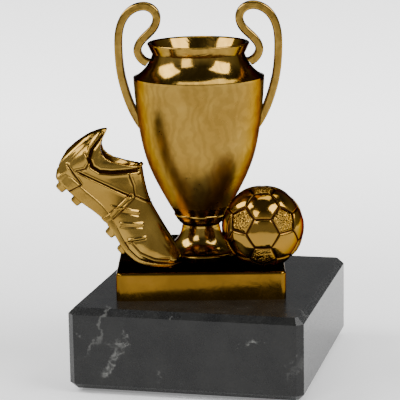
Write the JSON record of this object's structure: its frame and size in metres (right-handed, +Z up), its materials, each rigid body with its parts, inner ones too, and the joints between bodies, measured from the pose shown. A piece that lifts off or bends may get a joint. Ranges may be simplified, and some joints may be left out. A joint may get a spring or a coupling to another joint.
{
  "type": "figure trophy",
  "caption": "Figure trophy: a gold two-handled cup with a football boot and a ball on a small plinth, fixed to a black marble block.",
  "frame": {"origin": "centre of the marble block's underside, on the standing face of the felt", "axes": "+Z up along the cup's axis, front of the marble block towards -Y, +X to the viewer's right; the figure is turned 12.8 degrees about +Z from the block"},
  "size_m": [0.0662, 0.066, 0.0954],
  "materials": {
    "gold_cup": "ABS, vacuum-metallised antique gold, mirror gloss",
    "gold_plinth": "ABS, vacuum-metallised antique gold, mirror gloss",
    "gold_boot": "ABS, vacuum-metallised antique gold, darker in the seams",
    "gold_sole": "ABS, vacuum-metallised antique gold, satin",
    "gold_ball": "ABS, vacuum-metallised antique gold, pebbled and smooth panels",
    "marble": "black marble with fine grey-white veins, polished",
    "felt": "black felt",
    "zinc_steel": "bright zinc plate"
  },
  "bodies": {
    "root": {"cup_bowl": "gold_cup", "cup_shoulder": "gold_cup", "cup_foot": "gold_cup", "stem_collar": "gold_cup", "handle_left": "gold_cup", "handle_right": "gold_cup", "plinth": "gold_plinth", "boot_upper": "gold_boot", "boot_sole": "gold_sole", "ball_lower": "gold_ball", "ball_upper": "gold_ball", "tie_rod": "zinc_steel", "base_nut": "zinc_steel", "bowl_nut": "zinc_steel", "base_washer": "zinc_steel", "bowl_washer": "zinc_steel", "base_spring_washer": "zinc_steel", "boot_screw": "zinc_steel", "ball_screw": "zinc_steel", "marble_base": "marble", "base_felt": "felt"}
  },
  "joints": []
}
